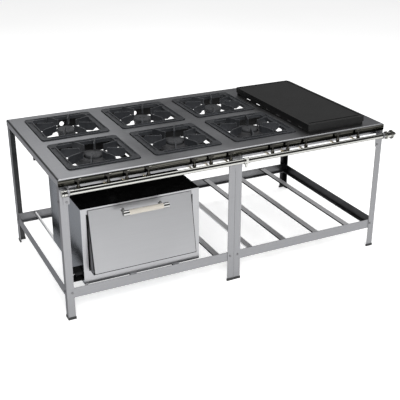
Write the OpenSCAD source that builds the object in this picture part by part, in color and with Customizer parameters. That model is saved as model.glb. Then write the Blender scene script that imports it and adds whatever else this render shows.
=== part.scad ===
// Free-standing industrial gas range: stainless worktop with six open burners and a griddle,
// front gas manifold, bolted angle frame in two modules, slatted lower shelf and an oven.
// Millimetres, +Z up, front faces -Y. The origin is on the floor, under the middle of the outline.

/* [Worktop] */
// Width of the worktop
top_w = 1970; // [1960:5:2000]
// Depth of the worktop
top_d = 1044; // [1040:4:1060]
// Height of the worktop above the floor
top_h = 800; // [780:10:900]
// Sheet thickness of the worktop
sheet = 2; // [1.5:0.5:2.5]
// Depth of the folded edge
edge_h = 38; // [34:2:44]
// Radius of the folded edge
bend_r = 10; // [6:1:11]
// Side of the square burner cut-outs
cut = 400; // [396:2:402]
// Corner radius of the burner cut-outs
cut_r = 22; // [18:1:26]

/* [Burners] */
// Distance between burner columns
col_pitch = 474.5; // [470:0.5:478]
// Distance between burner rows
row_pitch = 472; // [468:1:476]
// Radius of the single burner cap
cap_r = 57; // [48:1:60]
// Outer radius of the ring burner
ring_r = 104; // [96:1:106]
// Radius of the mixing tubes
tube_r = 14; // [11:1:15]

/* [Grates] */
// Width of the grate frame band
band = 37; // [32:1:42]
// Thickness of the grate fingers
finger_t = 7; // [5:1:9]
// Height of the pan plane above the worktop
pan_h = 25; // [20:1:30]

/* [Griddle] */
// Width of the griddle plate
griddle_w = 384; // [376:2:390]
// Depth of the griddle plate
griddle_d = 850; // [830:5:856]
// Thickness of the griddle plate
griddle_t = 32; // [20:2:36]
// Height of the griddle base
base_h = 20; // [16:1:24]

/* [Manifold] */
// Radius of the manifold tube
pipe_r = 13.5; // [12:0.5:14]
// Height of the manifold axis
pipe_z = 742; // [738:1:746]

/* [Frame] */
// Width of the leg angles
leg_w = 40; // [36:1:42]
// Thickness of the angles
angle_t = 3; // [2.5:0.5:3]
// Height of the rails
rail_h = 56; // [50:1:60]
// Height of the shelf surface
shelf_z = 178; // [170:1:190]
// Width of the shelf slats
slat_w = 36; // [24:1:36]

/* [Oven] */
// Width of the oven
oven_w = 667; // [660:1:672]
// Depth of the oven body
oven_d = 565; // [540:5:600]
// Height of the oven body
oven_h = 432; // [428:1:436]
// Lean of the closed door from upright
door_lean = 10.5; // [9.5:0.25:11]

/* [Hidden] */
$fn = 48;

// Frame planes
leg_x = top_w / 2 - sheet;
leg_y = top_d / 2 - sheet;
leg_top = top_h - bend_r;
leg_z = 6;
foot_h = 14;
foot_wall = 2.5;
rail_z = shelf_z + 5 - rail_h;
rail_flange = 24;
side_gap = 30;
slat_h = 9;
slat_left = -604;
slat_right = 113;
bearer_x = -864;
bearer_w = 10;
plate_t = 3;
head_h = 3;
seam = 1;

// Burner grid
col_0 = -701;
row_0 = -226;
ledge = 12;
ledge_z = top_h - 12;
grate_gap = 3;
cap_z = top_h - 10;

// Manifold planes
front_y = -top_d / 2;
pipe_y = front_y - 42;
tap_y = front_y - 19;
nose_z = top_h - edge_h;
mouth_y = -430;
mouth_z = 730;
bar_y = -496;
bar_size = 12;
bar_z = mouth_z + 5.5;
rest_z = mouth_z - tube_r - 0.5;
pipe_left = -top_w / 2 + 12;
pipe_right = top_w / 2 - 12;
union_x = 40;
union_w = 34;
tap_x = [-890, -733, -635, -517, -258.5, -160.5, -42.5, 216, 314, 432, 646, 788];
inlet_len = 63;
inlet_r = 10.5;
inlet_ring = 26;

// Shift that puts the origin under the middle of the outline
tx = (leg_x + head_h - pipe_right - inlet_len) / 2;
ty = (inlet_ring - pipe_y - leg_y - plate_t - head_h) / 2;

// Griddle
griddle_x = 676;
griddle_y = -57;
base_z = top_h;
plate_z = top_h + base_h;

// Oven
oven_x0 = -877;
oven_y0 = -497;
stile_l = 35;
stile_r = 45;
top_rail = 11;
lean_off = 65;
door_x0 = oven_x0 + stile_l + 5;
door_x1 = oven_x0 + oven_w - stile_r - 5;
door_w = door_x1 - door_x0;
door_z = 262;
door_y = oven_y0 - lean_off;
door_t = 22;
door_len = (shelf_z + oven_h - top_rail - 2 - door_z) / cos(door_lean);
hinge_v = 12;
pin_r = 4;
fit = 0.05;
jamb_t = 2;
jamb_gap = 3;
pin_len = 8;
grip_r = 14;
grip_off = 68;
grip_len = 254;
grip_v = door_len - 30;
post_x = grip_len / 2 - 22;

module at_table() { translate([tx, ty, 0]) children(); }
module steel() { color([0.70, 0.71, 0.73]) children(); }
module iron() { color([0.23, 0.23, 0.24]) children(); }
module chrome() { color([0.85, 0.85, 0.86]) children(); }
module black() { color([0.06, 0.06, 0.07]) children(); }

module box_at(x0, x1, y0, y1, z0, z1) {
  translate([x0, y0, z0]) cube([x1 - x0, y1 - y0, z1 - z0]);
}
module rounded(w, d, r) {
  square([w - 2 * r, d], center = true);
  square([w, d - 2 * r], center = true);
  for (sx = [-1, 1], sy = [-1, 1])
    translate([sx * (w / 2 - r), sy * (d / 2 - r)]) circle(r);
}
// Rod along Y from y0 to y1
module rod_y(x, y0, y1, z, r) { translate([x, y0, z]) rotate([-90, 0, 0]) cylinder(h = y1 - y0, r = r); }
// Rod along X from x0 to x1
module rod_x(x0, x1, y, z, r) { translate([x0, y, z]) rotate([0, 90, 0]) cylinder(h = x1 - x0, r = r); }
module angle_section(a, b, t) {
  square([a, t]);
  square([t, b]);
}
module flip(sx, sy) {
  mirror([sx < 0 ? 1 : 0, 0, 0]) mirror([0, sy < 0 ? 1 : 0, 0]) children();
}

// ---------------------------------------------------------------- worktop
// Folded sheet seen along its edge, from the fold at x = 0 inward for the given run
module fold_section(run) {
  translate([bend_r, -sheet]) square([run - bend_r, sheet]);
  translate([0, -edge_h]) square([sheet, edge_h - bend_r]);
  intersection() {
    translate([bend_r, -bend_r]) difference() {
      circle(bend_r);
      circle(bend_r - sheet);
    }
    translate([0, -bend_r]) square(bend_r);
  }
}
// One side of the tray: its fold lies at -X, its ends are mitred at 45 degrees
module tray_side(len, run) {
  intersection() {
    rotate([90, 0, 0]) translate([0, 0, -len / 2]) linear_extrude(len) fold_section(run);
    translate([0, 0, -2 * edge_h]) linear_extrude(3 * edge_h)
      polygon([[0, -len / 2], [run, run - len / 2], [run, len / 2 - run], [0, len / 2]]);
  }
}
module tray() {
  half = top_d / 2;
  for (a = [0, 180]) rotate([0, 0, a]) {
    translate([-top_w / 2, 0, 0]) tray_side(top_d, half);
    rotate([0, 0, 90]) translate([-half, 0, 0]) tray_side(top_w, half);
  }
}
module at_burner(i, j) { translate([col_0 + i * col_pitch, row_0 + j * row_pitch, 0]) children(); }
module ledge_ring() {
  translate([0, 0, ledge_z - sheet]) linear_extrude(sheet) difference() {
    rounded(cut + 2 * sheet, cut + 2 * sheet, cut_r + sheet);
    rounded(cut - 2 * ledge, cut - 2 * ledge, cut_r - ledge / 2);
  }
  translate([0, 0, ledge_z - sheet]) linear_extrude(top_h - sheet / 2 - ledge_z + sheet) difference() {
    rounded(cut + 2 * sheet, cut + 2 * sheet, cut_r + sheet);
    rounded(cut, cut, cut_r);
  }
}
module worktop() {
  steel() at_table() {
    difference() {
      translate([0, 0, top_h]) tray();
      for (i = [0:2], j = [0, 1]) at_burner(i, j)
        translate([0, 0, top_h - edge_h]) linear_extrude(edge_h * 2) rounded(cut, cut, cut_r);
      translate([griddle_x, griddle_y, top_h - edge_h]) linear_extrude(edge_h * 2)
        rounded(griddle_w - 44, griddle_d - 60, cut_r);
    }
    for (i = [0:2], j = [0, 1]) at_burner(i, j) ledge_ring();
  }
}

// ---------------------------------------------------------------- frame
bracket_x = leg_x - 33;
bracket_z = 664;
screw_r = 3;
screw_hole = 3.2;
rail_screw_z = rail_z + rail_h * 0.55;
module leg_bar(sx, sy, x) {
  difference() {
    translate([x, sy * leg_y, leg_z]) flip(-sx, -sy)
      linear_extrude(leg_top - leg_z) angle_section(leg_w, leg_w, angle_t);
    screw_holes();
    line_holes();
  }
}
module leg_front_left() { steel() at_table() leg_bar(-1, -1, -leg_x); }
module leg_front_right() { steel() at_table() leg_bar(1, -1, leg_x); }
module leg_rear_left() { steel() at_table() leg_bar(-1, 1, -leg_x); }
module leg_rear_right() { steel() at_table() leg_bar(1, 1, leg_x); }
module mid_legs() {
  steel() at_table() for (sx = [-1, 1], sy = [-1, 1]) leg_bar(-sx, sy, sx * seam / 2);
}
// Boot of the same section as the leg, open at the top
module foot() {
  difference() {
    translate([-foot_wall, -foot_wall, 0]) linear_extrude(foot_h)
      angle_section(leg_w + 2 * foot_wall, leg_w + 2 * foot_wall, angle_t + 2 * foot_wall);
    translate([0, 0, leg_z]) linear_extrude(foot_h) angle_section(leg_w, leg_w, angle_t);
  }
}
module feet() {
  black() at_table() for (sy = [-1, 1]) {
    for (sx = [-1, 1]) translate([sx * leg_x, sy * leg_y, 0]) flip(-sx, -sy) foot();
    for (sx = [-1, 1]) translate([sx * seam / 2, sy * leg_y, 0]) flip(sx, -sy) intersection() {
      foot();
      box_at(0, leg_w * 2, -leg_w, leg_w * 2, -1, foot_h + 1);
    }
  }
}
// Angle rail along X with its upright flange outside and its flat flange inward
module long_rail(x0, x1, sy) {
  difference() {
    translate([x0, sy * (leg_y - angle_t), rail_z]) flip(1, -sy)
      rotate([90, 0, 90]) linear_extrude(x1 - x0) angle_section(rail_flange, rail_h, angle_t);
    screw_holes();
  }
}
module long_rails() {
  steel() at_table() for (sy = [-1, 1]) {
    long_rail(-leg_x + angle_t, -seam / 2 - angle_t, sy);
    long_rail(seam / 2 + angle_t, leg_x - angle_t, sy);
  }
}
// Angle rail along Y, held inside the legs
module cross_rail(x, sx) {
  run = leg_y - side_gap;
  difference() {
    translate([x, run, rail_z]) flip(sx, 1)
      rotate([90, 0, 0]) linear_extrude(2 * run) angle_section(rail_flange, rail_h, angle_t);
    screw_holes();
  }
}
module cross_rails() {
  steel() at_table() {
    cross_rail(-leg_x + angle_t, 1);
    cross_rail(leg_x - angle_t, -1);
  }
}
// Folded slat between the long rails: centre, width and depth of the fold
module slat(x, w, h) {
  len = 2 * (leg_y - 2 * angle_t);
  translate([x, len / 2, shelf_z]) rotate([90, 0, 0]) linear_extrude(len) difference() {
    translate([-w / 2, -h]) square([w, h]);
    translate([-w / 2 + 1.5, -h - 1.5]) square([w - 3, h]);
  }
}
module slats_left() {
  steel() at_table() {
    slat(bearer_x, bearer_w, 2 * slat_h);
    for (i = [0:2]) slat(slat_left + i * 250, slat_w, slat_h);
  }
}
module slats_right() { steel() at_table() for (i = [0:3]) slat(slat_right + i * 225, slat_w, slat_h); }
module mid_plates() {
  steel() at_table() difference() {
    for (sy = [-1, 1]) translate([-leg_w, sy * (leg_y + plate_t / 2) - plate_t / 2, 690])
      cube([2 * leg_w, plate_t, nose_z - 692]);
    screw_holes();
    line_holes();
  }
}
// Round ways for the gas lines through the front face of the frame
module line_holes() { for (x = tap_x) rod_y(x, -leg_y - 6, -leg_y + 6, mouth_z, 5.5); }
// Every frame screw, its head pointing out of the frame
module at_screws() {
  for (sy = [-1, 1]) {
    for (x = [-leg_x + 30, -24, 24, leg_x - 30])
      translate([x, sy * leg_y, rail_screw_z]) rotate([sy < 0 ? 90 : -90, 0, 0]) children();
    for (x = [-22, 22])
      translate([x, sy * (leg_y + plate_t), 725]) rotate([sy < 0 ? 90 : -90, 0, 0]) children();
  }
  for (sx = [-1, 1])
    translate([sx * (bracket_x - 2), -leg_y - plate_t, bracket_z + 12]) rotate([90, 0, 0]) children();
  for (sx = [-1, 1]) {
    for (y = [-leg_y + 35.5, leg_y - 35.5])
      translate([sx * leg_x, y, rail_screw_z]) rotate([0, sx * 90, 0]) children();
    translate([sx * leg_x, -leg_y + 28, bracket_z + 9]) rotate([0, sx * 90, 0]) children();
  }
}
module screw_holes() { at_screws() translate([0, 0, -12]) cylinder(h = 16, r = screw_hole); }
module frame_screws() {
  chrome() at_table() at_screws() {
    translate([0, 0, -9]) cylinder(h = 9, r = screw_r);
    difference() {
      cylinder(h = head_h, r = 6);
      translate([0, 0, 1.6]) cylinder(h = 3, r = 2.6, $fn = 6);
    }
  }
}

// ---------------------------------------------------------------- gas line
module pipe_run(x0, x1) {
  difference() {
    rod_x(x0, x1, pipe_y, pipe_z, pipe_r);
    rod_x(x0 - 1, x1 + 1, pipe_y, pipe_z, pipe_r - 3);
    for (x = tap_x) rod_y(x, pipe_y, tap_y, pipe_z, 5);
  }
}
module manifold_tubes() {
  chrome() at_table() {
    pipe_run(pipe_left, union_x - union_w / 2 + 9);
    pipe_run(union_x + union_w / 2 - 9, pipe_right);
  }
}
module manifold_union() {
  chrome() at_table() difference() {
    union() {
      rod_x(union_x - union_w / 2, union_x + union_w / 2, pipe_y, pipe_z, pipe_r + 3.5);
      rod_x(union_x - 7, union_x + 7, pipe_y, pipe_z, pipe_r + 6, $fn = 6);
      translate([union_x, pipe_y, pipe_z - pipe_r - 18]) cylinder(h = 18, r = 7);
      translate([union_x, pipe_y, pipe_z - pipe_r - 26]) cylinder(h = 8, r1 = 3, r2 = 7);
    }
    rod_x(union_x - union_w, union_x - union_w / 2 + 9, pipe_y, pipe_z, pipe_r);
    rod_x(union_x + union_w / 2 - 9, union_x + union_w, pipe_y, pipe_z, pipe_r);
    rod_x(union_x - union_w, union_x + union_w, pipe_y, pipe_z, pipe_r - 3);
  }
}
// Collars on a closed end: [offset from the tube end, width, radius]
module collars(x, dir, list) {
  for (c = list) rod_x(min(x + dir * c[0], x + dir * (c[0] + c[1])),
    max(x + dir * c[0], x + dir * (c[0] + c[1])), pipe_y, pipe_z, c[2]);
}
module manifold_cap() {
  chrome() at_table() difference() {
    collars(pipe_left, -1, [[-16, 4, 17], [-12, 8, 16], [-4, 3, 18.5], [-1, 8, 15], [7, 4, 17.5]]);
    rod_x(pipe_left, pipe_left + 20, pipe_y, pipe_z, pipe_r);
  }
}
module gas_inlet() {
  chrome() at_table() difference() {
    collars(pipe_right, 1, [[-8, 4, 18], [-4, 8, 23], [4, 30, 17.5], [34, 6, inlet_ring],
      [40, 10, 17], [50, inlet_len - 50, inlet_r]]);
    rod_x(pipe_right - 30, pipe_right, pipe_y, pipe_z, pipe_r);
    rod_x(pipe_right - 1, pipe_right + 70, pipe_y, pipe_z, 6.5);
  }
}
module manifold_brackets() {
  steel() at_table() for (x = [-bracket_x, bracket_x]) difference() {
    union() {
      box_at(x - 16, x + 16, -leg_y - plate_t, -leg_y, bracket_z, nose_z - 2);
      translate([x - 2, 0, 0]) rotate([90, 0, 90]) linear_extrude(4) polygon([
        [-leg_y, pipe_z - 34], [-leg_y, nose_z - 4], [pipe_y, pipe_z + pipe_r + 3],
        [pipe_y, pipe_z - pipe_r - 3]]);
      rod_x(x - 5, x + 5, pipe_y, pipe_z, pipe_r + 4);
    }
    rod_x(x - 30, x + 30, pipe_y, pipe_z, pipe_r);
    screw_holes();
  }
}
// Square tube between the legs, over the gas lines
module burner_bar() {
  from = seam / 2 + angle_t;
  to = leg_x - angle_t;
  steel() at_table() for (x = [-to, from]) translate([x, bar_y, bar_z]) difference() {
    cube([to - from, bar_size, bar_size]);
    translate([-1, 1.5, 1.5]) cube([leg_x, bar_size - 3, bar_size - 3]);
  }
}
// Flat bars under the burners, hung from the worktop
hanger_x = [-915, -464, 11, 478, 905];
hanger_t = 4;
module at_rails() {
  for (j = [0, 1]) translate([0, row_0 + j * row_pitch - 70, rest_z - hanger_t]) children();
}
module burner_rails() {
  steel() at_table() at_rails() translate([hanger_x[0] - 2, 0, 0])
    cube([hanger_x[4] - hanger_x[0] + hanger_t, 30, hanger_t]);
}
// Upright sheet under the worktop behind a burner row, with a top flange, two round holes
// behind each burner and a notch for each rear mixing tube
brace_back = 214;
brace_h = 76;
brace_t = 1.5;
brace_fold = 18;
sight_r = 14;
sight_z = 746;
module brace(row) {
  x0 = -leg_x + bend_r;
  x1 = hanger_x[3] - 8;
  top = top_h - sheet;
  difference() {
    union() {
      box_at(x0, x1, 0, brace_t, top - brace_h, top);
      box_at(x0, x1, 0, brace_fold, top - brace_t, top);
    }
    for (i = [0:2]) {
      if (row == 1) for (dx = [-2, 33]) rod_y(col_0 + i * col_pitch + dx, -5, 5, sight_z, sight_r);
      if (row == 0) rod_y(col_0 + i * col_pitch + rear_x, -5, 5, mouth_z, tube_r + 3);
    }
  }
}
module hob_braces() {
  steel() at_table() {
    at_rails() for (x = hanger_x)
      translate([x - 2, 0, hanger_t]) cube([hanger_t, 30, top_h - sheet - rest_z]);
    for (j = [0, 1]) translate([0, row_0 + j * row_pitch + brace_back, 0]) brace(j);
  }
}
valve_r = 8;
valve_top = pipe_z + 27;
valve_out = tap_y + 16;
nozzle_y = -481;
module valve_bodies() {
  color([0.75, 0.70, 0.55]) at_table() for (x = tap_x) difference() {
    union() {
      translate([x, tap_y, mouth_z - 9]) cylinder(h = valve_top - mouth_z + 9, r = valve_r);
      translate([x, tap_y, pipe_z + 9]) cylinder(h = 7, r = valve_r + 4, $fn = 6);
      rod_y(x, tap_y, valve_out, mouth_z, 6.5);
      rod_y(x, pipe_y + 10, tap_y, pipe_z, 4.8);
      difference() {
        rod_y(x, pipe_y + pipe_r - 2, tap_y, pipe_z, 7);
        rod_x(x - 20, x + 20, pipe_y, pipe_z, pipe_r + 0.02);
      }
    }
    translate([x, tap_y, pipe_z]) cylinder(h = 40, r = 3.5 + fit);
    rod_y(x, pipe_y, tap_y, pipe_z, 2.2);
    rod_y(x, tap_y, tap_y + 30, mouth_z, 2.2);
    translate([x, tap_y, mouth_z]) cylinder(h = pipe_z - mouth_z + 1, r = 2);
  }
}
module injectors() {
  color([0.75, 0.70, 0.55]) at_table() for (i = [1:11]) difference() {
    union() {
      rod_y(tap_x[i], valve_out, nozzle_y, mouth_z, 4);
      rod_y(tap_x[i], nozzle_y, nozzle_y + 12, mouth_z, 6.5, $fn = 6);
      rod_y(tap_x[i], nozzle_y + 12, nozzle_y + 22, mouth_z, 3.5);
    }
    rod_y(tap_x[i], valve_out - 1, nozzle_y + 18, mouth_z, 2.2);
    rod_y(tap_x[i], valve_out - 1, nozzle_y + 30, mouth_z, 0.8);
  }
}
// Tap key: shaft, boss and a two-winged grip flared towards its ends
module tap(i) {
  chrome() at_table() translate([tap_x[i], tap_y, 0]) {
    translate([0, 0, pipe_z + 1]) cylinder(h = 36, r = 3.5);
    translate([0, 0, valve_top + 0.4]) cylinder(h = 8, r = 6.5);
    translate([0, 3, 0]) rotate([90, 0, 0]) linear_extrude(6) polygon([
      [-4, valve_top + 6], [4, valve_top + 6], [5, valve_top + 15], [16, valve_top + 20],
      [17, valve_top + 28], [5, valve_top + 26], [0, valve_top + 24], [-5, valve_top + 26],
      [-17, valve_top + 28], [-16, valve_top + 20], [-5, valve_top + 15]]);
  }
}

// ---------------------------------------------------------------- burners
// Mixing tube along Y with a flanged mouth and a half-open air collar
module mixer(x, y1) {
  difference() {
    union() {
      rod_y(x, mouth_y, y1, mouth_z, tube_r);
      rod_y(x, mouth_y, mouth_y + 5, mouth_z, tube_r + 4);
      rod_y(x, mouth_y + 22, mouth_y + 26, mouth_z, tube_r + 3);
    }
    rod_y(x, mouth_y - 1, mouth_y + 90, mouth_z, tube_r - 3);
    box_at(x - 30, x + 30, mouth_y + 8, mouth_y + 18, mouth_z + 2, mouth_z + 30);
  }
}
rear_x = 184;
arm_y = 56;
module rear_burners() {
  iron() at_table() for (i = [0:2]) {
    cx = col_0 + i * col_pitch;
    cy = row_0 + row_pitch;
    arm = sqrt(pow(rear_x, 2) + pow(cy - arm_y, 2));
    union() {
      mixer(cx + rear_x, arm_y);
      translate([cx + rear_x, arm_y, mouth_z]) sphere(tube_r + 2);
      translate([cx, cy, mouth_z]) rotate([0, 90, -atan2(cy - arm_y, rear_x)]) cylinder(h = arm, r = tube_r);
      translate([cx, cy, mouth_z - 16]) cylinder(h = 22, r1 = 30, r2 = 48);
      translate([cx, cy, mouth_z + 6]) cylinder(h = cap_z - 20 - mouth_z - 6, r1 = 48, r2 = cap_r - 4);
    }
  }
}
module rear_cap() {
  difference() {
    union() {
      cylinder(h = 12, r = cap_r);
      translate([0, 0, 12]) cylinder(h = 4, r1 = cap_r, r2 = cap_r - 4);
      translate([0, 0, 16]) cylinder(h = 3, r1 = 20, r2 = 16);
    }
    for (a = [0:7.5:352.5]) rotate([0, 0, a]) translate([cap_r - 5, -1, 2]) cube([10, 2, 7]);
  }
}
module center_cap() {
  cylinder(h = 12, r = 45);
  translate([0, 0, 12]) cylinder(h = 5, r1 = 45, r2 = 40);
  translate([0, 0, 17]) cylinder(h = 2, r1 = 14, r2 = 12);
}
module burner_caps() {
  iron() at_table() for (i = [0:2]) {
    at_burner(i, 0) translate([0, 0, cap_z - 16]) center_cap();
    at_burner(i, 1) translate([0, 0, cap_z - 20]) rear_cap();
  }
}
ring_in = 53;
ring_z = top_h - 48;
feed_c = -27;
feed_o = 66;
module ring_burners() {
  iron() at_table() for (i = [0:2]) at_burner(i, 0) difference() {
    union() {
      translate([0, 0, ring_z]) cylinder(h = 18, r = ring_r);
      translate([0, 0, ring_z + 18]) cylinder(h = 10, r1 = ring_r, r2 = ring_r - 14);
      translate([feed_o, 0, 0]) translate([0, -row_0, 0]) mixer(0, row_0 - 72);
      translate([feed_o - 18, -92, mouth_z - 10]) cube([36, 34, ring_z - mouth_z + 16]);
    }
    translate([0, 0, ring_z - 40]) cylinder(h = 80, r = ring_in);
    for (a = [0:10:350]) rotate([0, 0, a]) translate([ring_r - 5, -1.2, ring_z + 19]) cube([12, 2.4, 6]);
  }
}
module center_burners() {
  iron() at_table() for (i = [0:2]) at_burner(i, 0) {
    translate([feed_c, -row_0, 0]) mixer(0, row_0 - 4);
    translate([0, 0, mouth_z - 10]) cylinder(h = 12, r1 = 38, r2 = 44);
    translate([0, 0, mouth_z + 2]) cylinder(h = cap_z - 16 - mouth_z - 2, r = 44);
  }
}
module griddle_burners() {
  iron() at_table() for (i = [10, 11]) {
    mixer(tap_x[i], 300);
    difference() {
      translate([tap_x[i] - 18, -330, mouth_z + 6]) cube([36, 640, 20]);
      for (y = [-310:20:290]) translate([tap_x[i] - 12, y, mouth_z + 23]) cube([24, 4, 10]);
    }
  }
}

// ---------------------------------------------------------------- grates
module finger() {
  rotate([90, 0, 0]) translate([0, 0, -finger_t / 2]) linear_extrude(finger_t) polygon([
    [74, top_h - 14], [100, top_h - 16], [110, top_h - 26], [152, top_h - 27],
    [170, top_h - 12], [176, top_h + 4],
    [166, top_h + pan_h - 6], [150, top_h + pan_h - 3], [92, top_h + pan_h - 3],
    [78, top_h + pan_h], [72, top_h + pan_h - 4]]);
}
module grate(i, j) {
  side = cut - 2 * grate_gap;
  inner = side - 2 * band;
  iron() at_table() at_burner(i, j) {
    difference() {
      translate([0, 0, ledge_z]) linear_extrude(top_h - ledge_z + 6) difference() {
        rounded(side, side, cut_r - 2);
        rounded(inner, inner, 14);
      }
      for (a = [0:90:270]) rotate([0, 0, a]) translate([-inner / 2 + 20, inner / 2 + 7, top_h + 1])
        cube([inner - 40, band - 14, 10]);
    }
    for (a = [22.5:45:337.5]) rotate([0, 0, a]) finger();
  }
}

// ---------------------------------------------------------------- griddle
module griddle_plate() {
  black() at_table() translate([griddle_x, griddle_y, plate_z]) difference() {
    linear_extrude(griddle_t) rounded(griddle_w, griddle_d, 5);
    translate([0, 7, griddle_t - 3]) linear_extrude(10) rounded(griddle_w - 12, griddle_d - 26, 4);
    translate([0, -griddle_d / 2 + 30, griddle_t - 8]) linear_extrude(10)
      rounded(griddle_w - 40, 18, 5);
    translate([0, 0, -1]) linear_extrude(griddle_t - 11) rounded(griddle_w - 30, griddle_d - 30, 4);
  }
}
module griddle_base() {
  black() at_table() translate([griddle_x, griddle_y, base_z]) difference() {
    linear_extrude(base_h) difference() {
      rounded(griddle_w - 8, griddle_d - 8, 5);
      rounded(griddle_w - 16, griddle_d - 16, 3);
    }
    for (y = [-330:120:390]) translate([-griddle_w, y - 24, 7]) cube([2 * griddle_w, 48, 7]);
  }
}

// ---------------------------------------------------------------- oven
port_y = oven_y0 + 20;
port_z = shelf_z + 17;
port_h = 50;
gas_box_x = oven_x0 - 56;
module at_oven() { translate([oven_x0, oven_y0, shelf_z]) children(); }
module oven_shell() {
  t = 1.5;
  steel() at_table() difference() {
    at_oven() difference() {
      cube([oven_w, oven_d, oven_h - 2]);
      translate([t, -1, t]) cube([oven_w - 2 * t, oven_d - t + 1, oven_h]);
    }
    translate([oven_x0 - 1, port_y + 6, port_z + 6]) cube([5, 58, port_h - 12]);
  }
}
module oven_top() {
  black() at_table() at_oven() translate([0, 0, oven_h - 2]) cube([oven_w, oven_d, 2]);
}
module jamb(x) {
  difference() {
    translate([x, 0, 0]) rotate([90, 0, 90]) linear_extrude(jamb_t) polygon([
      [oven_y0, door_z - 10], [oven_y0, shelf_z + oven_h - top_rail],
      [door_y + 5, door_z - 6], [door_y + 8, door_z - 10]]);
    at_hinge() rotate([0, 90, 0]) translate([0, 0, -1000]) cylinder(h = 2000, r = pin_r + fit);
  }
}
module oven_frame() {
  t = 1.5;
  steel() at_table() {
    difference() {
      at_oven() translate([t, 0, t]) cube([oven_w - 2 * t, 2, oven_h - 2 - t]);
      box_at(door_x0 - jamb_gap, door_x1 + jamb_gap, oven_y0 - 1, oven_y0 + 9, door_z - 8,
        shelf_z + oven_h - top_rail);
    }
    jamb(door_x0 - jamb_gap - jamb_t);
    jamb(door_x1 + jamb_gap);
    box_at(door_x0 - jamb_gap - jamb_t, door_x1 + jamb_gap + jamb_t, door_y + 9, oven_y0 + 2,
      door_z - 10, door_z - 8);
  }
}
cav_x0 = door_x0 + 2;
cav_x1 = door_x1 - 2;
cav_y0 = oven_y0 + 30;
cav_y1 = oven_y0 + oven_d - 30;
cav_z0 = door_z + 6;
cav_z1 = shelf_z + oven_h - 22;
guide_z = [330, 410, 490];
module oven_liner() {
  t = 1.2;
  black() at_table() {
    difference() {
      box_at(cav_x0 - t, cav_x1 + t, cav_y0, cav_y1 + t, cav_z0 - t, cav_z1 + t);
      box_at(cav_x0, cav_x1, cav_y0 - 1, cav_y1, cav_z0, cav_z1);
      for (x = [cav_x0 + 60, cav_x1 - 100])
        box_at(x, x + 40, cav_y0 + 60, cav_y1 - 60, cav_z0 - 5, cav_z0 + 1);
    }
    for (z = guide_z) {
      box_at(cav_x0 - t / 2, cav_x0 + 10, cav_y0 + 6, cav_y1, z - 3, z);
      box_at(cav_x1 - 10, cav_x1 + t / 2, cav_y0 + 6, cav_y1, z - 3, z);
    }
  }
}
burner_y = port_y + 36;
burner_z = port_z + port_h / 2;
// Open-fronted box on the oven's side around the burner's air mouth
module oven_gas_box() {
  t = 1.5;
  black() at_table() difference() {
    box_at(gas_box_x, oven_x0, port_y, port_y + 72, port_z, port_z + port_h);
    box_at(gas_box_x + t, oven_x0 + 1, port_y - 1, port_y + 72 - t, port_z + t, port_z + port_h - t);
    rod_x(gas_box_x - 1, gas_box_x + 5, burner_y, burner_z, 5);
  }
}
module oven_burner() {
  r = 11;
  feed = oven_x0 + 150;
  iron() at_table() {
    difference() {
      union() {
        rod_x(oven_x0 - 26, feed, burner_y, burner_z, r);
        rod_x(oven_x0 - 30, oven_x0 - 26, burner_y, burner_z, r + 5);
        translate([feed, burner_y, burner_z]) sphere(r + 2);
        rod_y(feed, burner_y, burner_y + 400, burner_z, r);
        rod_x(feed, oven_x0 + oven_w - 60, burner_y + 200, burner_z, r);
      }
      rod_x(oven_x0 - 40, oven_x0 + 60, burner_y, burner_z, r - 3);
    }
    box_at(feed - 20, feed + 20, burner_y + 380, burner_y + 386, shelf_z + 1.5, burner_z);
    box_at(oven_x0 + oven_w - 90, oven_x0 + oven_w - 84, burner_y + 185, burner_y + 215,
      shelf_z + 1.5, burner_z);
  }
}
// Gas pipe from the first tap down the inside of the leg to the oven burner
drop_x = -leg_x + 14;
drop_y = -leg_y + 16;
pipe_r2 = 4;
run_z = mouth_z;
module oven_pipe() {
  chrome() at_table() {
    rod_y(tap_x[0], valve_out, drop_y, run_z, pipe_r2);
    translate([tap_x[0], drop_y, run_z]) sphere(pipe_r2);
    rod_x(drop_x, tap_x[0], drop_y, run_z, pipe_r2);
    translate([drop_x, drop_y, run_z]) sphere(pipe_r2);
    translate([drop_x, drop_y, burner_z]) cylinder(h = run_z - burner_z, r = pipe_r2);
    translate([drop_x, drop_y, burner_z]) sphere(pipe_r2);
    rod_y(drop_x, drop_y, burner_y, burner_z, pipe_r2);
    translate([drop_x, burner_y, burner_z]) sphere(pipe_r2);
    rod_x(drop_x, oven_x0 - 34, burner_y, burner_z, pipe_r2);
    rod_x(gas_box_x + 5, gas_box_x + 14, burner_y, burner_z, 8, $fn = 6);
  }
}
rack_z = guide_z[1] + 0.3;
module oven_rack() {
  chrome() at_table() {
    x0 = cav_x0 + 3;
    x1 = cav_x1 - 3;
    y0 = cav_y0 + 26;
    y1 = cav_y1 - 10;
    for (y = [y0 + 4, y1 - 4]) rod_x(x0, x1, y, rack_z + 4, 4);
    for (x = [x0 + 4, x1 - 4]) rod_y(x, y0 + 4, y1 - 4, rack_z + 4, 4);
    for (k = [1:17]) rod_y(x0 + k * (x1 - x0) / 18, y0 + 4, y1 - 4, rack_z + 5, 2.5);
  }
}

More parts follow.
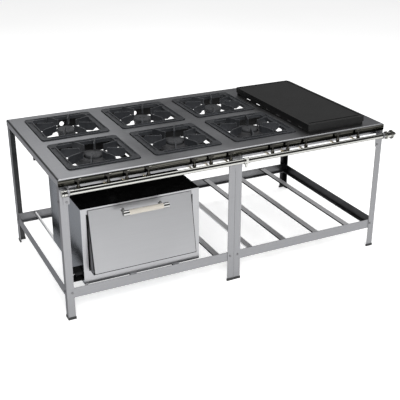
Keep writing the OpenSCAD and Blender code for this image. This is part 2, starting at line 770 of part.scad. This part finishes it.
// ---------------------------------------------------------------- oven door
// Door frame of reference: X across, Y out of the door face, Z up along the door
module at_door() { translate([0, door_y, door_z]) rotate([-door_lean, 0, 0]) children(); }
module at_hinge() { at_door() translate([0, door_t / 2, hinge_v]) children(); }
module door_skin() {
  t = 1.5;
  steel() at_table() {
    at_door() difference() {
      box_at(door_x0, door_x1, 0, door_t, 0, door_len);
      box_at(door_x0 + t, door_x1 - t, t, door_t + 1, t, door_len - t);
      translate([0, door_t / 2, hinge_v]) rotate([0, 90, 0]) translate([0, 0, -1000])
        cylinder(h = 2000, r = pin_r - 1);
      for (x = [-1, 1]) translate([(door_x0 + door_x1) / 2 + x * post_x, -1, grip_v])
        rotate([-90, 0, 0]) cylinder(h = 10, r = 4);
    }
    for (x = [door_x0 + 1.5 - pin_len, door_x1 - 1.5]) at_hinge() translate([x, 0, 0])
      rotate([0, 90, 0]) cylinder(h = pin_len, r = pin_r);
  }
}
module door_liner() {
  t = 1.2;
  steel() at_table() at_door() difference() {
    box_at(door_x0 + 1.5, door_x1 - 1.5, door_t - 9, door_t, 1.5, door_len - 1.5);
    box_at(door_x0 + 1.5 + t, door_x1 - 1.5 - t, door_t - 10, door_t - t, 1.5 + t, door_len - 1.5 - t);
    box_at(door_x0 + 1, door_x0 + 12, door_t - 12, door_t + 1, hinge_v - 8, hinge_v + 8);
    box_at(door_x1 - 12, door_x1 - 1, door_t - 12, door_t + 1, hinge_v - 8, hinge_v + 8);
  }
}
grip_x = (door_x0 + door_x1) / 2;
module door_posts() {
  chrome() at_table() at_door() for (s = [-1, 1]) {
    translate([grip_x + s * post_x, -grip_off + grip_r - 0.5, grip_v]) rotate([-90, 0, 0])
      cylinder(h = grip_off - grip_r + 4, r = 4);
    translate([grip_x + s * post_x, -4, grip_v]) rotate([-90, 0, 0]) cylinder(h = 4, r = 10);
    difference() {
      translate([grip_x + s * (post_x + 6) - 16, -grip_off, grip_v]) rotate([0, 90, 0])
        cylinder(h = 32, r = grip_r);
      translate([grip_x - s * 2, -grip_off, grip_v]) rotate([0, s * 90, 0])
        cylinder(h = grip_len / 2 - 6, r = 5.05);
    }
  }
}
module door_grip() {
  color([0.85, 0.83, 0.78]) at_table() at_door() translate([grip_x, -grip_off, grip_v])
    rotate([0, 90, 0]) {
      cylinder(h = grip_len - 64, r = grip_r, center = true);
      cylinder(h = grip_len - 20, r = 5, center = true);
    }
}

worktop();
leg_front_left();
leg_front_right();
leg_rear_left();
leg_rear_right();
mid_legs();
feet();
long_rails();
cross_rails();
slats_left();
slats_right();
mid_plates();
frame_screws();
manifold_tubes();
manifold_union();
manifold_cap();
gas_inlet();
manifold_brackets();
burner_bar();
burner_rails();
hob_braces();
valve_bodies();
injectors();
rear_burners();
ring_burners();
center_burners();
burner_caps();
griddle_burners();
oven_pipe();
oven_gas_box();
oven_shell();
oven_top();
oven_frame();
oven_liner();
oven_burner();
oven_rack();
door_skin();
door_liner();
door_posts();
door_grip();
griddle_plate();
griddle_base();
grate(0, 0);  // grate_1
grate(1, 0);  // grate_2
grate(2, 0);  // grate_3
grate(0, 1);  // grate_4
grate(1, 1);  // grate_5
grate(2, 1);  // grate_6
tap(0);  // tap_1
tap(1);  // tap_2
tap(2);  // tap_3
tap(3);  // tap_4
tap(4);  // tap_5
tap(5);  // tap_6
tap(6);  // tap_7
tap(7);  // tap_8
tap(8);  // tap_9
tap(9);  // tap_10
tap(10);  // tap_11
tap(11);  // tap_12
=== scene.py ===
import math

import bpy
from mathutils import Matrix, Vector


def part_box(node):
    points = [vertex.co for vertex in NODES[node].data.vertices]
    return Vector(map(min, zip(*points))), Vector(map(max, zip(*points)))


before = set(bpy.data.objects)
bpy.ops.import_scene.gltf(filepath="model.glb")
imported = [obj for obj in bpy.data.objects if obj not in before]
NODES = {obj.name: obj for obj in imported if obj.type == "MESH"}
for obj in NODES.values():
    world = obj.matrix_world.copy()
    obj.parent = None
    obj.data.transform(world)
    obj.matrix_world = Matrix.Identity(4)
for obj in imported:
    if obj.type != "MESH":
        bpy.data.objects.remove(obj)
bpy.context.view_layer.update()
MM = 0.001

# ---------------------------------------------------------------- camera
CAMERA_YAW = math.radians(26.207)
CAMERA_PITCH = math.radians(24.108)
CAMERA_ROLL = math.radians(0.048)
CAMERA_LENS = 70.79
CAMERA_PLACE = Vector((-1.9449, -3.9518, 2.2712))


def make_camera():
    """Camera at the view's own yaw, pitch and very slight roll."""
    ahead = Vector((
        math.sin(CAMERA_YAW) * math.cos(CAMERA_PITCH),
        math.cos(CAMERA_YAW) * math.cos(CAMERA_PITCH),
        -math.sin(CAMERA_PITCH),
    ))
    level = Vector((math.cos(CAMERA_YAW), -math.sin(CAMERA_YAW), 0.0))
    upright = level.cross(ahead)
    right = math.cos(CAMERA_ROLL) * level + math.sin(CAMERA_ROLL) * upright
    up = math.cos(CAMERA_ROLL) * upright - math.sin(CAMERA_ROLL) * level
    turn = Matrix((right, up, -ahead)).transposed()
    camera = bpy.data.objects.new("camera", bpy.data.cameras.new("camera"))
    camera.data.sensor_width = 36.0
    camera.data.lens = CAMERA_LENS
    camera.matrix_world = Matrix.Translation(CAMERA_PLACE) @ turn.to_4x4()
    bpy.context.scene.collection.objects.link(camera)
    bpy.context.scene.camera = camera


# ---------------------------------------------------------------- materials
class Look:
    """A Principled material and short ways to add procedural detail to it."""

    def __init__(self, name, metallic=0.0, roughness=0.5, specular=0.5, coat=0.0):
        self.material = bpy.data.materials.new(name)
        self.material.use_nodes = True
        self.tree = self.material.node_tree
        self.shader = self.tree.nodes["Principled BSDF"]
        self.shader.inputs["Metallic"].default_value = metallic
        self.shader.inputs["Roughness"].default_value = roughness
        self.shader.inputs["Specular IOR Level"].default_value = specular
        self.shader.inputs["Coat Weight"].default_value = coat
        self.normal = None

    def node(self, kind, **values):
        made = self.tree.nodes.new(kind)
        for key, value in values.items():
            setattr(made, key, value)
        return made

    def join(self, source, target):
        self.tree.links.new(source, target)

    def place(self, scale):
        """Object coordinates in metres, stretched by scale."""
        coords = self.node("ShaderNodeTexCoord")
        mapping = self.node("ShaderNodeMapping")
        mapping.inputs["Scale"].default_value = scale
        self.join(coords.outputs["Object"], mapping.inputs["Vector"])
        return mapping.outputs["Vector"]

    def noise(self, scale, detail=3.0, roughness=0.55, distortion=0.0):
        made = self.node("ShaderNodeTexNoise")
        made.inputs["Scale"].default_value = 1.0
        made.inputs["Detail"].default_value = detail
        made.inputs["Roughness"].default_value = roughness
        made.inputs["Distortion"].default_value = distortion
        stretch = scale if isinstance(scale, tuple) else (scale, scale, scale)
        self.join(self.place(stretch), made.inputs["Vector"])
        return made.outputs["Fac"]

    def span(self, value, low, high, start=0.3, end=0.7):
        """value, between start and end, mapped to low..high."""
        made = self.node("ShaderNodeMapRange")
        made.inputs["From Min"].default_value = start
        made.inputs["From Max"].default_value = end
        made.inputs["To Min"].default_value = low
        made.inputs["To Max"].default_value = high
        self.join(value, made.inputs["Value"])
        return made.outputs["Result"]

    def math(self, how, a, b):
        made = self.node("ShaderNodeMath", operation=how)
        for socket, value in zip(made.inputs, (a, b)):
            if isinstance(value, (int, float)):
                socket.default_value = value
            else:
                self.join(value, socket)
        return made.outputs["Value"]

    def ramp(self, value, stops):
        made = self.node("ShaderNodeValToRGB")
        points = made.color_ramp.elements
        while len(points) < len(stops):
            points.new(0.5)
        for point, (where, colour) in zip(points, stops):
            point.position = where
            point.color = (*colour, 1.0)
        self.join(value, made.inputs["Fac"])
        return made.outputs["Color"]

    def blend(self, factor, first, second, how="MIX"):
        made = self.node("ShaderNodeMix", data_type="RGBA", blend_type=how)
        for name, value in ((0, factor), (6, first), (7, second)):
            socket = made.inputs[name]
            if isinstance(value, (int, float)):
                socket.default_value = value
            elif isinstance(value, tuple):
                socket.default_value = (*value, 1.0)
            else:
                self.join(value, socket)
        return made.outputs[2]

    def bump(self, height, strength, distance):
        made = self.node("ShaderNodeBump")
        made.inputs["Strength"].default_value = strength
        made.inputs["Distance"].default_value = distance
        self.join(height, made.inputs["Height"])
        if self.normal is not None:
            self.join(self.normal, made.inputs["Normal"])
        self.normal = made.outputs["Normal"]
        self.join(self.normal, self.shader.inputs["Normal"])

    def edges(self, radius, start=0.02, end=0.25):
        """1 along the sharp edges of the shape, 0 on its faces."""
        bevel = self.node("ShaderNodeBevel", samples=4)
        bevel.inputs["Radius"].default_value = radius
        geometry = self.node("ShaderNodeNewGeometry")
        product = self.node("ShaderNodeVectorMath", operation="DOT_PRODUCT")
        self.join(bevel.outputs["Normal"], product.inputs[0])
        self.join(geometry.outputs["Normal"], product.inputs[1])
        return self.span(self.math("SUBTRACT", 1.0, product.outputs["Value"]), 0.0, 1.0, start, end)

    def split(self, source):
        parts = self.node("ShaderNodeSeparateXYZ")
        self.join(source, parts.inputs["Vector"])
        return parts.outputs

    def outside(self, low, high, depth=1.2 * MM):
        """Mask for painted shade: 1 on upward faces and on those in the box's own side planes, 0 on inner
        faces.
        """
        where = self.split(self.node("ShaderNodeTexCoord").outputs["Object"])
        facing = self.split(self.node("ShaderNodeNewGeometry").outputs["Normal"])
        found = self.math("GREATER_THAN", facing["Z"], 0.5)
        for axis, name in enumerate("XY"):
            middle = (low[axis] + high[axis]) / 2
            half = (high[axis] - low[axis]) / 2
            off = self.math("ABSOLUTE", self.math("SUBTRACT", where[name], middle), 0.0)
            found = self.math("MAXIMUM", found, self.math("GREATER_THAN", off, half - depth))
        return found

    def beside(self, low, high, gap):
        """Mask for the painted door-gap shadow: 1 behind a leaning door and in the gap round it, 0 on the
        left jamb's outer side.
        """
        where = self.split(self.node("ShaderNodeTexCoord").outputs["Object"])
        facing = self.split(self.node("ShaderNodeNewGeometry").outputs["Normal"])
        found = self.math("GREATER_THAN", where["X"], (low.x + high.x) / 2)
        found = self.math("MAXIMUM", found, self.math("GREATER_THAN", facing["X"], -0.5))
        sides = (
            ("GREATER_THAN", "X", low.x - gap),
            ("LESS_THAN", "X", high.x + gap),
            ("GREATER_THAN", "Z", low.z - gap),
            ("LESS_THAN", "Z", high.z - 4 * gap),
        )
        for how, axis, limit in sides:
            found = self.math("MULTIPLY", found, self.math(how, where[axis], limit))
        return found

    def colour(self, socket):
        self.join(socket, self.shader.inputs["Base Color"])

    def rough(self, socket):
        self.join(socket, self.shader.inputs["Roughness"])


# noise scale along and across the grain, by the axis it runs along
GRAIN = {
    "x": lambda along, across: (along, across, across),
    "y": lambda along, across: (across, along, across),
    "z": lambda along, across: (across, across, along),
}


# holds back how much metal brightens when seen at a low angle
EDGE_TINT = (0.30, 0.30, 0.31, 1.0)
# width and colour of the painted shadow strip in the gap round the oven door
RIM = 5 * MM
DOOR_GAP_SHADE = (0.006, 0.006, 0.006)


def tint(colour, amount):
    return tuple(min(1.0, part * amount) for part in colour)


def brushed(name, colour, axis, roughness=0.3, smear=0.06, box=None, inner=0.2, rim=None):
    """Rolled stainless sheet: hair-fine grain along one axis, broader bands and hand smears.

    With a box, the piece's inner faces get painted shade: a darker colour than on its outside and its upward
    faces.
    With a rim, a door's box, the strip next to that door and behind it is painted near-black, a painted
    shadow in the door gap."""
    look = Look(name, 1.0, roughness)
    look.shader.inputs["Specular Tint"].default_value = EDGE_TINT
    fine = look.noise(GRAIN[axis](9.0, 1400.0), 2.0)
    broad = look.noise(GRAIN[axis](1.2, 340.0), 2.0)
    cloud = look.noise(3.2, 4.0, 0.6, 0.6)
    mixed = look.math("ADD", look.math("MULTIPLY", fine, 0.45), look.math("MULTIPLY", broad, 0.30))
    mixed = look.math("ADD", mixed, look.math("MULTIPLY", cloud, 0.25))
    tone = look.ramp(mixed, [(0.36, tint(colour, 1 - smear)), (0.64, tint(colour, 1 + smear))])
    # painted shade on the piece's inner faces
    if box:
        painted_inner_shade = look.ramp(cloud, [(0.35, tint(colour, inner * 0.7)), (0.65, tint(colour, inner * 1.3))])
        tone = look.blend(look.outside(*box), painted_inner_shade, tone)
    # painted shadow in the gap round and behind the oven door
    if rim:
        tone = look.blend(look.beside(*rim, RIM), tone, DOOR_GAP_SHADE)
    look.colour(tone)
    spread = look.math("ADD", look.math("MULTIPLY", cloud, 0.7), look.math("MULTIPLY", fine, 0.3))
    look.rough(look.span(spread, roughness - 0.06, roughness + 0.08))
    look.bump(fine, 0.10, 0.0002)
    return look.material


def polished(name, colour, roughness=0.07, band=None):
    """Plated or polished metal with faint wiping marks and a few dull spots.

    A band is (low, high, shade): faces tilted up by that much are darkened by that shade, a painted dark
    reflection."""
    look = Look(name, 1.0, roughness)
    look.shader.inputs["Specular Tint"].default_value = EDGE_TINT
    wipe = look.noise((60.0, 400.0, 400.0), 3.0)
    spots = look.noise(140.0, 5.0, 0.7)
    tone = look.ramp(spots, [(0.30, tint(colour, 0.86)), (0.55, colour)])
    # painted reflection: a darker band on faces tilted between low and high
    if band:
        low, high, shade = band
        up = look.split(look.node("ShaderNodeNewGeometry").outputs["Normal"])["Z"]
        inside = look.math("MULTIPLY", look.span(up, 0.0, 1.0, low - 0.08, low + 0.08),
                           look.span(up, 1.0, 0.0, high - 0.06, high + 0.06))
        tone = look.blend(inside, tone, tint(colour, shade))
    look.colour(tone)
    look.rough(look.span(look.math("MULTIPLY", wipe, spots), roughness - 0.02, roughness + 0.10, 0.12, 0.40))
    look.bump(spots, 0.04, 0.0002)
    return look.material


def cast(name, colour, edge_colour, roughness=0.55, metallic=0.35, grain=0.5):
    """Sand-cast iron: pitted surface, uneven tone, edges lighter with rubbed wear and a painted highlight."""
    look = Look(name, metallic, roughness, 0.22)
    pits = look.noise(520.0, 4.0, 0.65)
    lumps = look.noise(70.0, 3.0)
    soot = look.noise(9.0, 5.0, 0.6, 0.4)
    tone = look.ramp(look.math("ADD", look.math("MULTIPLY", lumps, 0.4), look.math("MULTIPLY", soot, 0.6)),
                     [(0.35, tint(colour, 0.72)), (0.62, tint(colour, 1.22))])
    # lighter edges: rubbed wear and a painted highlight, patchy with the lumps
    wear_and_highlight = look.math("MULTIPLY", look.edges(0.0022), look.span(lumps, 0.35, 1.0, 0.35, 0.6))
    look.colour(look.blend(wear_and_highlight, tone, edge_colour))
    look.rough(look.span(pits, roughness - 0.10, roughness + 0.14))
    look.bump(lumps, 0.25 * grain, 0.0012)
    look.bump(pits, 0.35 * grain, 0.0005)
    return look.material


def enamel(name, colour, roughness=0.2, coat=0.3, speck=0.0, specular=0.5):
    """Sprayed or fired paint on sheet: slight orange peel, dust and optional pale specks."""
    look = Look(name, 0.0, roughness, specular, coat)
    peel = look.noise(260.0, 2.0)
    dust = look.noise(26.0, 6.0, 0.7, 0.5)
    base = look.ramp(dust, [(0.35, tint(colour, 0.8)), (0.72, tuple(part * 1.2 + 0.003 for part in colour))])
    if speck:
        dots = look.noise(900.0, 1.0)
        base = look.blend(look.span(dots, 0.0, speck, 0.66, 0.72), base, (0.5, 0.5, 0.52))
    look.colour(base)
    look.rough(look.span(dust, roughness - 0.04, roughness + 0.12))
    look.bump(peel, 0.06, 0.0004)
    return look.material


def plastic(name, colour, roughness=0.3, grain=90.0):
    """Moulded plastic with a faint flow pattern and handling marks."""
    look = Look(name, 0.0, roughness, 0.5)
    flow = look.noise((grain * 0.3, grain, grain), 3.0, 0.5, 0.8)
    marks = look.noise(400.0, 4.0, 0.7)
    look.colour(look.ramp(flow, [(0.30, tint(colour, 0.93)), (0.70, tint(colour, 1.04))]))
    look.rough(look.span(marks, roughness - 0.05, roughness + 0.12))
    look.bump(marks, 0.08, 0.0003)
    return look.material


TOP_STEEL = (0.375, 0.378, 0.388)


def worktop_steel():
    """Brushed top whose folded front edge is smoother and carries a painted dark reflection with lighter
    streaks.
    """
    look = Look("top_steel", 1.0, 0.30)
    look.shader.inputs["Specular Tint"].default_value = EDGE_TINT
    fine = look.noise(GRAIN["x"](9.0, 1400.0), 2.0)
    broad = look.noise(GRAIN["x"](1.0, 70.0), 3.0)
    cloud = look.noise(2.6, 4.0, 0.6, 0.6)
    mixed = look.math("ADD", look.math("MULTIPLY", fine, 0.40), look.math("MULTIPLY", broad, 0.25))
    mixed = look.math("ADD", mixed, look.math("MULTIPLY", cloud, 0.35))
    tone = look.ramp(mixed, [(0.36, tint(TOP_STEEL, 0.88)), (0.64, tint(TOP_STEEL, 1.14))])
    low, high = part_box("worktop")
    where = look.split(look.node("ShaderNodeTexCoord").outputs["Object"])
    # painted reflection on the front face of the fold: near-black with lighter streaks
    fold = look.span(where["Z"], 1.0, 0.0, high.z - 8 * MM, high.z - 3 * MM)
    front = look.math("MULTIPLY", fold, look.math("LESS_THAN", where["Y"], low.y + 5 * MM))
    painted_reflection = look.ramp(look.noise((2.0, 2.0, 160.0), 3.0, 0.6, 0.3),
                        [(0.46, (0.012, 0.012, 0.010)), (0.66, (0.16, 0.155, 0.135))])
    look.colour(look.blend(front, tone, painted_reflection))
    spread = look.span(look.math("ADD", look.math("MULTIPLY", cloud, 0.7), look.math("MULTIPLY", fine, 0.3)),
                       0.26, 0.40)
    look.rough(look.math("MULTIPLY", spread, look.span(front, 1.0, 0.35, 0.0, 1.0)))
    look.bump(fine, 0.08, 0.0002)
    return look.material


STEEL = (0.275, 0.277, 0.287)
SLAT_STEEL = (0.84, 0.84, 0.85)
DOOR_STEEL = (0.375, 0.377, 0.388)
# materials shared by one or more nodes
LOOKS = {
    "worktop": worktop_steel(),
    "fittings": brushed("fitting_steel", STEEL, "z", 0.36),
    "braces": enamel("brace_steel", (0.006, 0.006, 0.006), 0.45, 0.0, 0.0, 0.1),
    "boots": plastic("boot_plastic", (0.012, 0.012, 0.013), 0.45),
    "screws": polished("screw_steel", (0.22, 0.22, 0.225), 0.30),
    "pipe": polished("pipe_chrome", (0.50, 0.50, 0.475), 0.12, (0.25, 0.86, 0.08)),
    "valves": polished("valve_metal", (0.30, 0.285, 0.25), 0.12, (-0.5, 0.4, 0.3)),
    "jets": polished("injector_brass", (0.62, 0.54, 0.36), 0.20),
    "taps": polished("tap_chrome", (0.33, 0.32, 0.29), 0.10, (-0.15, 0.7, 0.10)),
    "burners": cast("burner_iron", (0.026, 0.026, 0.028), (0.09, 0.09, 0.095), 0.60, 0.2),
    "caps": cast("cap_iron", (0.036, 0.037, 0.040), (0.13, 0.13, 0.135), 0.50, 0.2),
    "grates": cast("grate_iron", (0.026, 0.0275, 0.031), (0.15, 0.155, 0.165), 0.48, 0.15),
    "griddle": cast("griddle_iron", (0.006, 0.006, 0.006), (0.05, 0.05, 0.05), 0.50, 0.0, 0.3),
    "paint": enamel("black_paint", (0.008, 0.008, 0.008), 0.35, 0.0, 0.0, 0.2),
    "tube": brushed("pipe_aluminium", (0.60, 0.60, 0.61), "z", 0.25),
    "oven": brushed("oven_steel", (0.330, 0.345, 0.360), "z", 0.16),
    "oven_top": enamel("oven_black", (0.0012, 0.0012, 0.0013), 0.16, 0.0, 0.0, 0.02),
    "liner": enamel("liner_enamel", (0.020, 0.021, 0.026), 0.22, 0.5, 0.5),
    "door": brushed("door_steel", DOOR_STEEL, "x", 0.34, 0.03),
    "door_frame": brushed("door_frame_steel", DOOR_STEEL, "x", 0.34, 0.03, rim=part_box("door_skin")),
    "rack": polished("rack_chrome", (0.60, 0.60, 0.60), 0.16),
    "handle": polished("handle_chrome", (0.50, 0.50, 0.49), 0.08, (0.1, 0.6, 0.2)),
    "grip": plastic("grip_plastic", (0.44, 0.41, 0.36), 0.25),
}
# which nodes wear which of them
WEARS = {
    "worktop": ["worktop"],
    "fittings": ["mid_plates", "manifold_brackets"],
    "braces": ["hob_braces", "burner_rails"],
    "boots": ["feet"],
    "screws": ["frame_screws"],
    "pipe": ["manifold_tubes", "manifold_union", "manifold_cap", "gas_inlet"],
    "valves": ["valve_bodies"],
    "jets": ["injectors"],
    "taps": [f"tap_{i}" for i in range(1, 13)],
    "burners": ["rear_burners", "ring_burners", "center_burners", "griddle_burners", "oven_burner"],
    "caps": ["burner_caps"],
    "grates": [f"grate_{i}" for i in range(1, 7)],
    "griddle": ["griddle_plate"],
    "paint": ["griddle_base", "oven_gas_box"],
    "tube": ["oven_pipe"],
    "oven": ["oven_shell"],
    "oven_top": ["oven_top"],
    "liner": ["oven_liner"],
    "door": ["door_skin", "door_liner"],
    "door_frame": ["oven_frame"],
    "rack": ["oven_rack"],
    "handle": ["door_posts"],
    "grip": ["door_grip"],
}


# the angle-steel frame, one material for each node: grain axis, steel, share of it left on inner faces as
# painted shade, nodes
FRAME = [
    ("z", STEEL, 0.2, ["leg_front_left", "leg_front_right", "leg_rear_left", "leg_rear_right"]),
    ("z", STEEL, 0.2, ["mid_legs"]),
    ("x", STEEL, 0.75, ["long_rails"]),
    ("x", STEEL, 0.2, ["burner_bar"]),
    ("y", STEEL, 0.2, ["cross_rails"]),
    ("y", SLAT_STEEL, 0.02, ["slats_left", "slats_right"]),
]


def dress(name, material):
    """Gives a CAD node its material."""
    slots = NODES[name].data.materials
    slots.clear()
    slots.append(material)


for kind, names in WEARS.items():
    for name in names:
        dress(name, LOOKS[kind])
for axis, steel, inner, names in FRAME:
    for name in names:
        dress(name, brushed(f"frame_steel_{name}", steel, axis, 0.36, box=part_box(name), inner=inner))


# ---------------------------------------------------------------- floor and light
FLOOR_HALF = 40.0
FLOOR_GLOW = 0.55
# the floor glows fully from the second X on, and not at all before the first
GLOW_FROM = (-3.2, -1.5)
# name, place, target, size, power in watts
LAMPS = [
    ("front_box", (-2.4, -5.5, 4.0), (-0.6, -1.2, 0.2), (4.0, 2.5), 360),
    ("top_box", (0.5, 0.5, 5.5), (0.2, 0.2, 0.0), (6.0, 5.0), 170),
    ("back_box", (0.5, 5.7, 3.6), (-0.9, -0.4, 0.8), (1.8, 1.2), 15),
]
# direction axis, where its brightness starts and stops rising, least and most of it
STUDIO = [
    ("X", -0.6, 0.9, 0.10, 0.62),
    ("Z", 0.15, 0.65, 0.45, 1.1),
]


def make_floor():
    """Pale floor that glows a little, except far out on the left."""
    mesh = bpy.data.meshes.new("floor")
    turns = ((-1, -1), (1, -1), (1, 1), (-1, 1))
    corners = [(x * FLOOR_HALF, y * FLOOR_HALF, 0) for x, y in turns]
    mesh.from_pydata(corners, [], [(0, 1, 2, 3)])
    floor = bpy.data.objects.new("floor", mesh)
    bpy.context.scene.collection.objects.link(floor)
    look = Look("floor_pale", 0.0, 0.85, 0.1)
    look.colour(look.ramp(look.noise(0.6, 2.0), [(0.3, (0.86, 0.86, 0.86)), (0.7, (0.90, 0.90, 0.90))]))
    look.shader.inputs["Emission Color"].default_value = (1.0, 1.0, 1.0, 1.0)
    across = look.split(look.node("ShaderNodeTexCoord").outputs["Object"])["X"]
    glow = look.span(across, 0.0, FLOOR_GLOW, *GLOW_FROM)
    look.join(glow, look.shader.inputs["Emission Strength"])
    mesh.materials.append(look.material)


def make_lamp(name, place, target, size, power):
    """Soft box at a place, turned towards a target."""
    data = bpy.data.lights.new(name, "AREA")
    data.shape = "RECTANGLE"
    data.size, data.size_y = size
    data.energy = power
    lamp = bpy.data.objects.new(name, data)
    lamp.location = place
    lamp.rotation_euler = (Vector(target) - Vector(place)).to_track_quat("-Z", "Y").to_euler()
    bpy.context.scene.collection.objects.link(lamp)


def make_world():
    """Soft studio: brighter on the right and overhead, dim on the left and low at the back."""
    world = bpy.data.worlds.new("studio")
    world.use_nodes = True
    bpy.context.scene.world = world
    tree = world.node_tree
    coords = tree.nodes.new("ShaderNodeTexCoord")
    parts = tree.nodes.new("ShaderNodeSeparateXYZ")
    product = tree.nodes.new("ShaderNodeMath")
    product.operation = "MULTIPLY"
    tree.nodes["Background"].inputs["Color"].default_value = (1.0, 1.0, 1.0, 1.0)
    tree.links.new(coords.outputs["Generated"], parts.inputs["Vector"])
    for socket, (name, start, end, least, most) in zip(product.inputs, STUDIO):
        ramp = tree.nodes.new("ShaderNodeMapRange")
        ramp.inputs["From Min"].default_value = start
        ramp.inputs["From Max"].default_value = end
        ramp.inputs["To Min"].default_value = least
        ramp.inputs["To Max"].default_value = most
        tree.links.new(parts.outputs[name], ramp.inputs["Value"])
        tree.links.new(ramp.outputs["Result"], socket)
    tree.links.new(product.outputs["Value"], tree.nodes["Background"].inputs["Strength"])


make_camera()
make_floor()
make_world()
for lamp in LAMPS:
    make_lamp(*lamp)
bpy.context.scene.view_settings.view_transform = "Standard"
